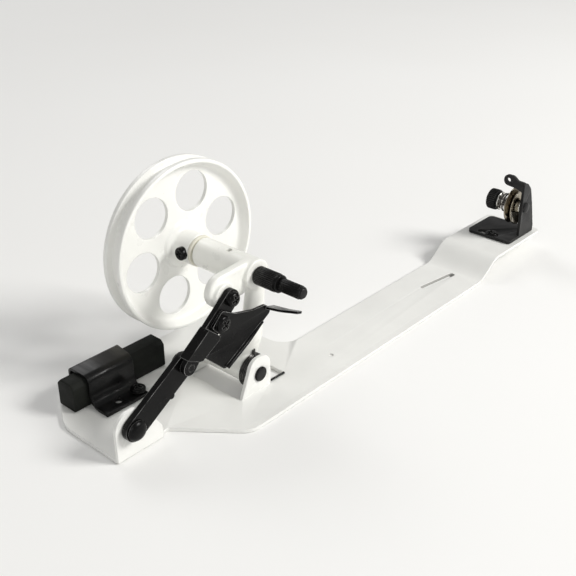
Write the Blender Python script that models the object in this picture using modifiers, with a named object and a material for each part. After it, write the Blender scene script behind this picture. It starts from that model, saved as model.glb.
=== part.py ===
"""Bobbin winder for an industrial sewing machine.

A pressed steel base carries, from left to right, a rubber brake block in a
spring clip, a cast arm that swings on a pin and holds the winding shaft and
its drive wheel, a two-link latch that locks the arm against the belt, and a
thread tension unit on a raised pad.

All dimensions below are millimetres.  x runs along the base from the brake
towards the tension unit, y runs along the winding shaft away from the
operator, z is up.  x = 0 is the wheel axis and y = 0 the wheel's near rim.
"""
import math
import bpy
import bmesh
from mathutils import Matrix, Vector

# --- placing: the middle of the footprint becomes the origin ----------------
MID_X = 65.0
MID_Y = -22.25

# --- base plate ---------------------------------------------------------------
SHEET = 1.6
STRIP_NEAR, STRIP_FAR = -60.8, -28.4
LEFT_END, WIDE_RIGHT, FAR_EDGE = -74.0, 28.5, 20.0
PAD_END = 204.0
JOG_START, JOG_END, JOG_RISE = 142.0, 160.0, 8.7
PAD_TOP = SHEET + JOG_RISE
LUG_FACE = -36.5          # outer face of the lug that carries the long link
PIVOT_FACE = -43.5        # outer face of the near arm-pivot lug
PIVOT_FAR = -11.7         # inner face of the far arm-pivot lug

# --- mechanism centres (x, z) ---------------------------------------------------
AXIS = (0.0, 53.3)        # winding shaft
PIVOT = (-3.5, 9.4)       # arm pivot
LINK_A = (-66.5, 13.4)    # long link on the base lug
KNEE = (-40.5, 29.7)      # long link to upper link
STUD = (20.7, 0.9)        # along and beside the upper link: trip screw
LINK_B = (-18.2, 51.0)    # upper link on the arm

# --- wheel, shaft and arm ----------------------------------------------------------
WHEEL_R, WHEEL_W = 38.0, 10.48
WEB_NEAR, WEB_FAR = 4.2, 6.4
HOLE_PITCH_R, HOLE_R, HOLE_PHASE = 23.36, 8.9, 13.96
HUB_NEAR, HUB_FAR = -5.8, 8.4
SET_SCREW_TURN = (0.0, math.radians(92.0), 0.0)
TUBE_R, TUBE_FAR, ARM_FACE = 6.5, -8.0, -40.0
LEVER_FACE = -38.2
SHAFT_R, DRIVE_R, NOSE_R = 3.0, 3.92, 2.85
DRIVE_START, SHOULDER, NOSE_END = -40.4, -52.6, -64.5
A_BACK, A_FRONT = -36.9, -39.6    # long link
B_BACK, B_FRONT = -40.4, -42.8    # upper link
BLOCK_FRONT = -44.8
TRIP_BACK, TRIP_FRONT = -43.1, -44.3

# --- brake ----------------------------------------------------------------------------
BLOCK = (-66.2, -17.8, 0.2, 10.8, 1.9, 14.6)
CLIP_T = 1.2

# --- tension unit -----------------------------------------------------------------------
POST = (188.5, 27.5)
FOOT = (174.5, 199.3, -58.4, -32.4)
FOOT_T = 1.5
BRACKET_HOLE = (177.6, -45.6)
DISC_R = 10.0


def world(x, y, z):
    return Vector(((x - MID_X) / 1000, (y - MID_Y) / 1000, z / 1000))


# --- scene, collections and materials -----------------------------------------------------
for old in list(bpy.data.objects):
    bpy.data.objects.remove(old, do_unlink=True)

parts = bpy.data.collections.new("bobbin_winder")
bpy.context.scene.collection.children.link(parts)
cutters = bpy.data.collections.new("cutters")
bpy.context.scene.collection.children.link(cutters)


def material(name, colour, roughness, metallic=0.0):
    mat = bpy.data.materials.new(name)
    mat.use_nodes = True
    shader = mat.node_tree.nodes["Principled BSDF"]
    shader.inputs["Base Color"].default_value = (*colour, 1.0)
    shader.inputs["Roughness"].default_value = roughness
    shader.inputs["Metallic"].default_value = metallic
    mat.diffuse_color = (*colour, 1.0)
    return mat


def white(name):
    return material(name, (0.84, 0.84, 0.80), 0.38)


def black(name):
    return material(name, (0.012, 0.012, 0.013), 0.34)


def steel(name):
    return material(name, (0.55, 0.55, 0.54), 0.28, 1.0)


# --- small makers -----------------------------------------------------------------------------
def add_object(name, mesh, mat, origin, turn=(0.0, 0.0, 0.0), cutter=False):
    obj = bpy.data.objects.new(name, mesh)
    obj.location = world(*origin)
    obj.rotation_euler = turn
    if cutter:
        cutters.objects.link(obj)
        obj.hide_render = True
        obj.display_type = "WIRE"
    else:
        parts.objects.link(obj)
        mesh.materials.clear()
        mesh.materials.append(mat)
    return obj


ALONG_Y = (math.pi / 2, 0.0, 0.0)     # local z then points to the operator


def rounded(corners, step=20.0):
    """Outline through (x, y, radius) corners, each rounded by its radius."""
    out = []
    count = len(corners)
    for i, (x, y, radius) in enumerate(corners):
        here = Vector((x, y))
        if radius <= 0:
            out.append((x, y))
            continue
        back = (Vector(corners[i - 1][:2]) - here).normalized()
        ahead = (Vector(corners[(i + 1) % count][:2]) - here).normalized()
        half = back.angle(ahead) / 2
        reach = radius / math.tan(half)
        centre = here + (back + ahead).normalized() * radius / math.sin(half)
        first = here + back * reach - centre
        last = here + ahead * reach - centre
        sweep = first.angle_signed(last)
        pieces = max(2, round(abs(math.degrees(sweep)) / step))
        start = math.atan2(first.y, first.x)
        for k in range(pieces + 1):
            a = start - sweep * k / pieces
            out.append((centre.x + radius * math.cos(a), centre.y + radius * math.sin(a)))
    return out


def circle(cx, cy, radius, count=20):
    return [(cx + radius * math.cos(2 * math.pi * k / count),
             cy + radius * math.sin(2 * math.pi * k / count)) for k in range(count)]


def obround(cx, cy, length, width, count=8):
    """Slot outline, long along x."""
    half, r = (length - width) / 2, width / 2
    right = [(cx + half + r * math.cos(a), cy + r * math.sin(a))
             for a in (math.pi * (k / count - 0.5) for k in range(count + 1))]
    left = [(cx - half - r * math.cos(a), cy - r * math.sin(a))
            for a in (math.pi * (k / count - 0.5) for k in range(count + 1))]
    return right + left


def turned(loop, cx, cy, angle):
    """Outline turned about its own origin and set down at (cx, cy)."""
    c, s = math.cos(angle), math.sin(angle)
    return [(cx + x * c - y * s, cy + x * s + y * c) for x, y in loop]


def sheet(name, loops, thickness, mat, origin, turn=(0.0, 0.0, 0.0), cutter=False):
    """Flat plate from outlines (the first is the edge, others are holes)."""
    curve = bpy.data.curves.new(name, "CURVE")
    curve.dimensions = "2D"
    curve.fill_mode = "BOTH"
    curve.extrude = thickness / 2000
    for loop in loops:
        spline = curve.splines.new("POLY")
        spline.points.add(len(loop) - 1)
        for point, (x, y) in zip(spline.points, loop):
            point.co = (x / 1000, y / 1000, 0.0, 1.0)
        spline.use_cyclic_u = True
    temp = bpy.data.objects.new(name + "_curve", curve)
    cutters.objects.link(temp)
    mesh = bake(temp)
    return add_object(name, mesh, mat, origin, turn, cutter)


def bake(temp):
    """Mesh of an evaluated object, welded closed; the object is removed."""
    bpy.context.view_layer.update()
    graph = bpy.context.evaluated_depsgraph_get()
    mesh = bpy.data.meshes.new_from_object(temp.evaluated_get(graph))
    data = temp.data
    bpy.data.objects.remove(temp, do_unlink=True)
    if isinstance(data, bpy.types.Curve):
        bpy.data.curves.remove(data)
    bm = bmesh.new()
    bm.from_mesh(mesh)
    bmesh.ops.remove_doubles(bm, verts=bm.verts, dist=1e-6)
    bmesh.ops.recalc_face_normals(bm, faces=bm.faces)
    bm.to_mesh(mesh)
    bm.free()
    return mesh


def lathe(name, profile, mat, origin, turn=ALONG_Y, steps=32, cutter=False):
    """Turned piece: (radius, height) points run down its outer side."""
    mesh = bpy.data.meshes.new(name)
    closed = profile[0][0] > 0
    verts = [(r / 1000, 0.0, h / 1000) for r, h in profile]
    edges = [(i, i + 1) for i in range(len(verts) - 1)]
    if closed:
        edges.append((len(verts) - 1, 0))
    mesh.from_pydata(verts, edges, [])
    obj = add_object(name, mesh, mat, origin, turn, cutter)
    screw = obj.modifiers.new("turned", "SCREW")
    screw.axis = "Z"
    screw.steps = steps
    screw.render_steps = steps
    screw.use_merge_vertices = True
    screw.merge_threshold = 0.00001
    screw.use_smooth_shade = False
    return obj


def ring(outer, inner, top, bottom, chamfer=0.3):
    c = chamfer
    return [(outer - c, top), (outer, top - c), (outer, bottom + c), (outer - c, bottom),
            (inner, bottom), (inner, top)]


def rod(radius, top, bottom, chamfer=0.3):
    c = chamfer
    return [(0, top), (radius - c, top), (radius, top - c), (radius, bottom + c),
            (radius - c, bottom), (0, bottom)]


def hull(name, points, mat, origin, cutter=False):
    """Convex solid round points given from the design origin."""
    bm = bmesh.new()
    base = world(*origin)
    for p in points:
        bm.verts.new(world(*p) - base)
    result = bmesh.ops.convex_hull(bm, input=bm.verts)
    inner = [e for e in result["geom_interior"] if isinstance(e, bmesh.types.BMVert)]
    bmesh.ops.delete(bm, geom=inner, context="VERTS")
    bmesh.ops.dissolve_limit(bm, angle_limit=0.002, verts=bm.verts, edges=bm.edges)
    bmesh.ops.recalc_face_normals(bm, faces=bm.faces)
    mesh = bpy.data.meshes.new(name)
    bm.to_mesh(mesh)
    bm.free()
    return add_object(name, mesh, mat, origin, cutter=cutter)


def box(x0, x1, y0, y1, z0, z1):
    return [(x, y, z) for x in (x0, x1) for y in (y0, y1) for z in (z0, z1)]


def round_points(cx, cz, radius, y, count=24):
    return [(x, y, z) for x, z in circle(cx, cz, radius, count)]


def combine(target, tool, operation):
    mod = target.modifiers.new(tool.name, "BOOLEAN")
    mod.operation = operation
    mod.solver = "EXACT"
    mod.object = tool
    return mod


def pan_screw(name, origin, head_r, head_h, shank_r, shank, turn, slot_width=1.0, mat=None):
    """Slotted pan-head screw; the origin is under the head."""
    profile = [(0, head_h), (head_r * 0.55, head_h - head_h * 0.06),
               (head_r * 0.88, head_h * 0.72), (head_r, head_h * 0.3), (head_r, 0),
               (shank_r, 0), (shank_r, -shank + 0.4), (shank_r - 0.4, -shank), (0, -shank)]
    screw = lathe(name, profile, mat or black(name), origin, turn, steps=16)
    cut = sheet(name + "_slot", [obround(0, 0, head_r * 3, slot_width, 2)], head_h,
                None, origin, turn, cutter=True)
    cut.parent = screw
    cut.location = (0, 0, head_h / 1000)
    cut.rotation_euler = (0, 0, math.radians(35))
    combine(screw, cut, "DIFFERENCE")
    return screw


# --- base --------------------------------------------------------------------------------------
def jog_height(x):
    """Height of the sheet above the table along the strip."""
    t = (x - JOG_START) / (JOG_END - JOG_START)
    t = min(1.0, max(0.0, t))
    return JOG_RISE * (t * t * (3 - 2 * t))


def make_base():
    edge = rounded([
        (LEFT_END, LUG_FACE + 0.3, 1.2), (-51.5, LUG_FACE + 0.3, 0), (-48.3, -33.6, 2.0),
        (-26.5, STRIP_NEAR, 9.0), (PAD_END, STRIP_NEAR, 3.0), (PAD_END, STRIP_FAR, 3.0),
        (WIDE_RIGHT, STRIP_FAR, 10.0), (WIDE_RIGHT, FAR_EDGE, 8.0),
        (-60.5, FAR_EDGE, 12.0), (LEFT_END, -2.5, 14.0)])
    window = rounded([(-15.3, -43.3, 1.0), (12.8, -43.3, 1.0), (12.8, -10.5, 1.0),
                      (-15.3, -10.5, 1.0)], 45)
    slot = turned(obround(0, 0, 24.0, 2.4, 4), 129.4, -43.8, math.radians(-8))
    holes = [window, slot, circle(*BRACKET_HOLE, 2.2, 12), circle(-39.7, -7.4, 2.2, 12)]
    base = sheet("base_plate", [edge] + holes, SHEET, white("base_white"), (0, 0, SHEET / 2))
    bend_strip(base.data)
    link_lug = rounded([(LEFT_END, 0.4, 0.6), (-51.5, 0.4, 0.6), (-51.5, 6.0, 4.0),
                        (-61.0, 20.6, 7.5), (LEFT_END, 20.6, 7.0)], 20)
    add_lug(base, "link_lug", link_lug, LUG_FACE, (LINK_A[0], LINK_A[1], 2.5))
    pivot_lug = rounded([(-12.0, 0.4, 0.3), (4.9, 0.4, 0.3), (4.9, 17.6, 8.2),
                         (-12.0, 17.6, 8.2)], 20)
    add_lug(base, "pivot_lug_near", pivot_lug, PIVOT_FACE, (PIVOT[0], PIVOT[1], 3.15))
    add_lug(base, "pivot_lug_far", pivot_lug, PIVOT_FAR, (PIVOT[0], PIVOT[1], 3.15))
    return base


def bend_strip(mesh):
    """Lift the far end of the strip onto its raised pad."""
    bm = bmesh.new()
    bm.from_mesh(mesh)
    count = 8
    for k in range(count + 1):
        x = (JOG_START + (JOG_END - JOG_START) * k / count) / 1000
        geom = bm.verts[:] + bm.edges[:] + bm.faces[:]
        bmesh.ops.bisect_plane(bm, geom=geom, plane_co=(x, 0, 0),
                               plane_no=(1, 0, 0), dist=1e-6)
    for v in bm.verts:
        v.co.z += jog_height(v.co.x * 1000) / 1000
    bm.to_mesh(mesh)
    bm.free()


def add_lug(base, name, outline, face, hole):
    """Upright lug whose operator side is at y = face."""
    x, z, r = hole
    tool = sheet(name, [outline, circle(x, z, r, 20)], SHEET, None,
                 (0, face + SHEET / 2, 0), ALONG_Y, cutter=True)
    combine(base, tool, "UNION")


# --- brake -----------------------------------------------------------------------------------
def make_brake():
    x0, x1, y0, y1, z0, z1 = BLOCK
    block = hull("brake_block", box(x0, x1, y0, y1, z0, z1), material(
        "rubber_black", (0.016, 0.017, 0.016), 0.55), ((x0 + x1) / 2, (y0 + y1) / 2, z0))
    bevel = block.modifiers.new("edges", "BEVEL")
    bevel.width = 0.0007
    bevel.segments = 2
    top, low = z1 + 0.3, SHEET + 0.3
    t = CLIP_T
    # section of the clip in (y, z): foot, riser, top, turned-down tail
    outer = [(-11.8, low), (-11.8, low + t), (-4.0, low + t), (-3.0, low + t + 1.0),
             (-2.3, low + t + 3.4), (-1.45, low + t + 6.4), (-1.3, top - 1.6),
             (-0.6, top + t * 0.62), (0.9, top + t), (9.6, top + t), (11.4, top + t * 0.62),
             (12.4, top - 1.0), (12.4, top - 5.5)]
    inner = [(11.2, top - 5.5), (11.2, top - 1.0), (10.9, top - 0.05), (9.6, top),
             (0.9, top), (0.15, top - 0.1), (-0.1, top - 1.6), (-0.25, low + t + 6.2),
             (-1.1, low + 4.2), (-2.0, low + 1.3), (-3.5, low)]
    clip = sheet("brake_clip", [outer + inner], 30.0, black("clip_black"),
                 (-44.3, 0, 0), (math.pi / 2, 0, math.pi / 2))
    trim = hull("clip_corner", [(x, y, z) for z in (-1, 30) for x, y in (
        (-37.8, -13.0), (-37.8, -12.2), (-33.6, -8.8), (-33.2, 0), (-34.5, 14),
        (-25, 14), (-25, -13.0))], None, (-33, 0, 0), cutter=True)
    combine(clip, trim, "DIFFERENCE")
    hole = lathe("clip_hole", rod(2.2, 6, -6, 0), None, (-39.7, -7.4, 3), (0, 0, 0), 16, True)
    combine(clip, hole, "DIFFERENCE")
    spare = lathe("clip_spare_hole", rod(1.6, 6, -6, 0), None, (-50.0, -7.2, 3),
                  (0, 0, 0), 12, True)
    combine(clip, spare, "DIFFERENCE")
    pan_screw("brake_screw", (-39.7, -7.4, SHEET + 0.3 + t + 0.3), 3.3, 2.0, 1.9, 3.2,
              (0, 0, 0))


# --- arm ---------------------------------------------------------------------------------------
def make_arm():
    origin = (PIVOT[0], (ARM_FACE + PIVOT_FAR) / 2, PIVOT[1])
    ax, az = AXIS
    body = hull("swing_arm", round_points(ax, az, TUBE_R, TUBE_FAR, 28)
                + round_points(ax, az, TUBE_R, ARM_FACE, 28), white("arm_white"), origin)
    bx, bz = LINK_B[0] + 0.3, LINK_B[1] + 0.9
    lever = hull("arm_lever", round_points(ax, az, TUBE_R - 0.9, LEVER_FACE, 20)
                 + round_points(ax, az, TUBE_R - 0.1, LEVER_FACE + 0.8, 20)
                 + round_points(ax, az, TUBE_R - 0.1, -33.9, 20)
                 + round_points(bx, bz, 6.2, LEVER_FACE, 20)
                 + round_points(bx, bz, 7.0, LEVER_FACE + 0.8, 20)
                 + round_points(bx, bz, 7.0, -34.4, 20), None, origin, True)
    pad = hull("arm_lever_pad", round_points(*LINK_B, 5.0, ARM_FACE, 20)
               + round_points(*LINK_B, 5.4, LEVER_FACE + 1, 20), None, origin, True)
    leg = hull("arm_leg", leg_ring(2.4, -36.55, 50.0, 4.4, 3.4)
               + leg_ring(1.0, -35.4, 22.0, 4.5, 3.2)
               + leg_ring(-1.4, -33.6, 12.0, 5.2, 3.2), None, origin, True)
    web = hull("arm_web", leg_ring(-2.2, -25.5, 10.0, 4.6, 9.5)
               + leg_ring(-0.9, -31.0, 22.0, 2.6, 3.5), None, origin, True)
    barrel = hull("arm_barrel", round_points(*PIVOT, 6.2, PIVOT_FAR - 0.4, 20)
                  + round_points(*PIVOT, 6.2, -37.3, 20), None, origin, True)
    spigot = hull("arm_spigot", round_points(*PIVOT, 5.0, -30.0, 20)
                  + round_points(*PIVOT, 5.0, PIVOT_FACE + SHEET + 0.3, 20), None, origin, True)
    for tool in (lever, pad, leg, web, barrel, spigot):
        combine(body, tool, "UNION")
    bores = [("shaft_bore", ax, az, 4.5, 2.0, -45.0, 24), ("pin_bore", *PIVOT, 3.2, 0, -50.0, 20),
             ("link_bore", *LINK_B, 1.8, -30.0, -45.0, 12)]
    for name, x, z, r, far, near, count in bores:
        tool = hull(name, round_points(x, z, r, far, count) + round_points(x, z, r, near, count),
                    None, origin, True)
        combine(body, tool, "DIFFERENCE")
    oil = lathe("oil_bore", rod(1.1, 8, -4, 0), None, (-0.5, -24.6, AXIS[1] + 4.0),
                (0, 0, 0), 12, True)
    combine(body, oil, "DIFFERENCE")
    return body


def leg_ring(cx, cy, z, a, b, count=18):
    """Oval section of the leg at height z."""
    return [(cx + a * math.cos(2 * math.pi * k / count),
             cy + b * math.sin(2 * math.pi * k / count), z) for k in range(count)]


def make_pivot():
    lathe("arm_pivot_pin", [(0, 0.9), (2.9, 0.9), (3.3, 0.5), (3.3, 0.25), (3.0, 0.25),
                            (3.0, -36.6), (2.6, -37.0), (0, -37.0)],
          black("pin_black"), (PIVOT[0], PIVOT_FACE, PIVOT[1]), steps=20)
    lathe("pivot_retainer", ring(5.2, 3.25, 0.9, 0, 0.2), black("retainer_black"),
          (PIVOT[0], PIVOT_FAR + SHEET + 1.3, PIVOT[1]), steps=16)
    coil("torsion_spring", 6.85, 6.85, 0.6, 2.236, 1.24, black("spring_black"),
         (PIVOT[0], -41.0, PIVOT[1]), start=1.66, tails=(4.6, 1.6))


def coil(name, r0, r1, wire, turns, pitch, mat, origin, start=0.0, tails=(0, 0), per_turn=14):
    """Coil spring round the y axis, growing away from the operator."""
    curve = bpy.data.curves.new(name, "CURVE")
    curve.dimensions = "3D"
    curve.bevel_depth = wire / 1000
    curve.bevel_resolution = 1
    curve.use_fill_caps = True
    count = int(per_turn * turns)
    path = []
    for k in range(count + 1):
        a = 2 * math.pi * turns * k / count + start
        r = r0 + (r1 - r0) * k / count
        path.append(Vector((r * math.cos(a), pitch * turns * k / count, r * math.sin(a))))
    if tails[1]:
        path.append(path[-1] * (1 + tails[1] / r1) + Vector((0, -path[-1].y * tails[1] / r1, 0)))
    if tails[0]:
        path.insert(0, path[0] * (1 + tails[0] / r0))
    spline = curve.splines.new("POLY")
    spline.points.add(len(path) - 1)
    for point, p in zip(spline.points, path):
        point.co = (p.x / 1000, p.y / 1000, p.z / 1000, 1.0)
    temp = bpy.data.objects.new(name + "_curve", curve)
    cutters.objects.link(temp)
    return add_object(name, bake(temp), mat, origin)


# --- wheel and shaft ------------------------------------------------------------------------------
def make_wheel():
    n, f, w = WEB_NEAR, WEB_FAR, WHEEL_W
    profile = [(7.0, -HUB_NEAR), (7.0, -n + 1.0), (10.2, -n + 1.0), (10.6, -n),
               (35.2, -n), (36.5, -0.1), (36.8, 0), (37.8, 0), (38.0, -0.2), (38.0, -2.3),
               (36.3, -3.1), (36.3, -7.4), (38.0, -8.2), (38.0, -w + 0.2), (37.8, -w),
               (36.8, -w), (35.2, -f), (8.5, -f), (8.5, -HUB_FAR), (3.15, -HUB_FAR),
               (3.15, -HUB_NEAR)]
    wheel = lathe("drive_wheel", profile, white("wheel_white"), (AXIS[0], 0, AXIS[1]), steps=48)
    tools = []
    for k in range(6):
        a = math.radians(HOLE_PHASE + 60 * k)
        tools.append((HOLE_PITCH_R * math.cos(a), HOLE_PITCH_R * math.sin(a)))
    bm = bmesh.new()
    for x, z in tools:
        turn = Matrix.Translation((x / 1000, z / 1000, -n / 1000))
        bmesh.ops.create_cone(bm, cap_ends=True, segments=24, radius1=HOLE_R / 1000,
                              radius2=HOLE_R / 1000, depth=0.008, matrix=turn)
    mesh = bpy.data.meshes.new("wheel_holes")
    bm.to_mesh(mesh)
    bm.free()
    holes = add_object("wheel_holes", mesh, None, (AXIS[0], 0, AXIS[1]), ALONG_Y, True)
    combine(wheel, holes, "DIFFERENCE")
    screw_hole = lathe("hub_screw_hole", rod(2.65, -2.9, -12, 0), None,
                       (AXIS[0], -2.6, AXIS[1]), SET_SCREW_TURN, 12, True)
    combine(wheel, screw_hole, "DIFFERENCE")
    lathe("hub_set_screw", [(0, -3.4), (2.0, -3.4), (2.4, -3.8), (2.4, -8.1), (2.0, -8.5),
                            (1.2, -8.5), (1.2, -7.7), (0, -7.7)],
          black("set_screw_black"), (AXIS[0], -2.6, AXIS[1]), SET_SCREW_TURN, 12)


def make_shaft():
    lathe("winding_shaft", [
        (0, -NOSE_END), (NOSE_R - 0.9, -NOSE_END), (NOSE_R, -NOSE_END - 0.9),
        (NOSE_R, -SHOULDER), (DRIVE_R - 0.5, -SHOULDER), (DRIVE_R, -SHOULDER - 0.5),
        (DRIVE_R, -DRIVE_START + 0.3), (DRIVE_R - 0.3, -DRIVE_START),
        (SHAFT_R, -DRIVE_START), (SHAFT_R, -10.0), (SHAFT_R - 0.4, -10.4), (0, -10.4)],
        black("shaft_black"), (AXIS[0], 0, AXIS[1]), steps=24)
    bush = material("bush_bronze", (0.42, 0.30, 0.16), 0.42, 1.0)
    lathe("shaft_bush_near", ring(4.35, 3.1, 9, 0), bush, (AXIS[0], -30.9, AXIS[1]), steps=20)
    bush = material("bush_bronze_far", (0.42, 0.30, 0.16), 0.42, 1.0)
    lathe("shaft_bush_far", ring(4.35, 3.1, 9, 0), bush, (AXIS[0], TUBE_FAR - 0.1, AXIS[1]),
          steps=20)
    lathe("thrust_washer", ring(6.9, 3.15, 1.4, 0, 0.2), white("washer_white"),
          (AXIS[0], HUB_NEAR - 0.3, AXIS[1]), steps=24)
    lathe("shaft_retainer", ring(5.0, 3.1, 0.9, 0, 0.2), black("shaft_retainer_black"),
          (AXIS[0], HUB_FAR + 1.2, AXIS[1]), steps=16)


# --- latch links -------------------------------------------------------------------------------------
def frame_of(a, b):
    """Unit vectors along a to b and to its lower right."""
    along = Vector((b[0] - a[0], b[1] - a[1])).normalized()
    return along, Vector((along.y, -along.x))


def bar_outline(a, b, origin, half, end_a, end_b, count=12):
    """Bar with round ends of radius end_a and end_b about two centres."""
    along, side = frame_of(a, b)
    pts = []
    for centre, radius, sign in ((Vector(b), end_b, 1), (Vector(a), end_a, -1)):
        for k in range(count + 1):
            t = math.pi * (k / count - 0.5) * sign
            p = centre + along * radius * math.cos(t) * sign + side * -radius * math.sin(t)
            pts.append((p.x - origin[0], p.y - origin[1]))
    return pts


def make_links():
    mid_a = (A_BACK + A_FRONT) / 2
    outline = bar_outline(LINK_A, KNEE, LINK_A, 4.9, 5.0, 4.9)
    hole = circle(0, 0, 2.55, 20)
    long_link = sheet("long_link", [outline, hole], A_BACK - A_FRONT, black("link_black"),
                      (LINK_A[0], mid_a, LINK_A[1]), ALONG_Y)
    along, side = frame_of(LINK_A, KNEE)
    spot = Vector(LINK_A) + along * 18.6 + side * 4.6
    nub = hull("link_nub", round_points(spot.x, spot.y, 1.3, A_BACK, 10)
               + round_points(spot.x, spot.y, 1.3, A_FRONT, 10), None,
               (LINK_A[0], mid_a, LINK_A[1]), True)
    combine(long_link, nub, "UNION")
    lathe("lug_rivet", [(0, 2.1), (2.2, 2.0), (3.8, 1.3), (4.3, 0.4), (4.3, 0), (2.35, 0),
                        (2.35, -5.2), (0, -5.2)], black("lug_rivet_black"),
          (LINK_A[0], A_FRONT - 0.3, LINK_A[1]), steps=20)
    lathe("knee_washer", ring(4.4, 1.2, 0.9, 0, 0.2), black("knee_washer_black"),
          (KNEE[0], A_BACK + 1.2, KNEE[1]), steps=16)
    make_upper_link()


def make_upper_link():
    mid_b = (B_BACK + B_FRONT) / 2
    origin = (LINK_B[0], mid_b, LINK_B[1])
    along, side = frame_of(KNEE, LINK_B)

    def at(s, a):
        return Vector(KNEE) + along * s + side * a

    knee = Vector(KNEE) - Vector(LINK_B)
    stud = at(*STUD) - Vector(LINK_B)
    shape = [(-4.5, -4.4, 4.3), (-4.5, 4.8, 4.3), (35.1, 4.9, 3.9), (34.6, -2.8, 3.6),
             (16.0, -4.3, 0)]
    outline = []
    for s, a, r in shape:
        p = at(s, a) - Vector(LINK_B)
        outline.append((p.x, p.y, r))
    link = sheet("upper_link", [rounded(outline), circle(0, 0, 1.75, 12),
                                circle(knee.x, knee.y, 2.0, 12),
                                circle(stud.x, stud.y, 1.7, 12)],
                 B_BACK - B_FRONT, black("upper_link_black"), origin, ALONG_Y)
    block = []
    for s, a in ((1.5, -6.0), (2.4, -3.2), (3.6, 0.2), (4.6, 1.6), (14.9, 4.2), (16.3, 3.4),
                 (15.6, -4.2)):
        p = at(s, a)
        block += [(p.x, B_BACK - 0.6, p.y), (p.x, BLOCK_FRONT, p.y)]
    combine(link, hull("link_block", block, None, origin, True), "UNION")
    lip = []
    for s, a in ((1.5, -6.0), (1.8, -5.0), (15.3, -3.3), (15.6, -4.2)):
        p = at(s, a)
        lip += [(p.x, B_BACK - 1.0, p.y), (p.x, -39.95, p.y)]
    combine(link, hull("stop_lip", lip, None, origin, True), "UNION")
    lathe("knee_rivet", [(0, 0.2), (1.5, 0.2), (1.75, 0), (1.85, -0.2), (1.85, -2.6),
                         (0, -2.6)], black("knee_rivet_black"),
          (KNEE[0], B_FRONT - 0.0, KNEE[1]), steps=16)
    make_trip(along, side, origin)


def make_trip(along, side, origin):
    mid = (TRIP_BACK + TRIP_FRONT) / 2

    def at(s, a):
        p = Vector(KNEE) + along * s + side * a
        return (p.x, p.y)

    shape = [(16.7, -2.4, 1.0), (16.7, 4.6, 0), (5.9, 2.7, 1.0), (6.4, 17.0, 2.2),
             (16.0, 19.2, 0), (27.0, 22.2, 0), (37.6, 24.6, 2.0), (37.0, 19.2, 2.2),
             (32.4, 14.2, 5.0), (27.0, 5.4, 4.0), (24.6, -2.4, 1.5)]
    corners = [(*at(s, a), r) for s, a, r in shape]
    stud = at(*STUD)
    outline = [(x - LINK_B[0], z - LINK_B[1]) for x, z in rounded(corners, 18)]
    plate = sheet("trip_plate", [outline, circle(stud[0] - LINK_B[0], stud[1] - LINK_B[1],
                                                 1.7, 12)],
                  TRIP_BACK - TRIP_FRONT, black("trip_black"),
                  (LINK_B[0], mid, LINK_B[1]), ALONG_Y)
    lip_points = []
    for s, a, deep in ((7.4, 15.9, 1.2), (20.0, 19.2, 1.2), (31.0, 22.0, 0.3)):
        for da, y in ((0, TRIP_BACK - 0.2), (1.2, TRIP_BACK - 0.2), (0.4, TRIP_FRONT - deep),
                      (1.6, TRIP_FRONT - deep)):
            x, z = at(s, a + da)
            lip_points.append((x, y, z))
    lip = hull("trip_lip", lip_points, None, (LINK_B[0], mid, LINK_B[1]), True)
    combine(plate, lip, "UNION")
    finger = hull("trip_finger", finger_ring(2.6, 38.7, TRIP_BACK - 0.2, 3.0)
                  + finger_ring(2.5, 40.3, -52.0, 2.4), None, (LINK_B[0], mid, LINK_B[1]), True)
    combine(plate, finger, "UNION")
    tip = hull("trip_finger_tip", finger_ring(2.5, 40.26, -51.8, 2.4)
               + finger_ring(2.6, 42.3, -60.0, 1.3), None, (LINK_B[0], mid, LINK_B[1]), True)
    combine(plate, tip, "UNION")
    pan_screw("trip_screw", (stud[0], TRIP_FRONT - 0.3, stud[1]), 3.4, 2.1, 1.45, 3.4, ALONG_Y)
    pan_screw("arm_link_screw", (LINK_B[0], B_FRONT - 0.3, LINK_B[1]), 3.1, 2.8, 1.6, 8.6,
              ALONG_Y)


def finger_ring(cx, cz, y, half, thick=0.55):
    """Section of the trip finger: a strip leaning towards the bobbin."""
    lean = Vector((0.80, -0.60))
    flat = Vector((0.60, 0.80))
    out = []
    for i in (-1, 1):
        for j in (-1, 1):
            p = Vector((cx, cz)) + lean * half * i + flat * thick * j
            out.append((p.x, y, p.y))
    return out


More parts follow.
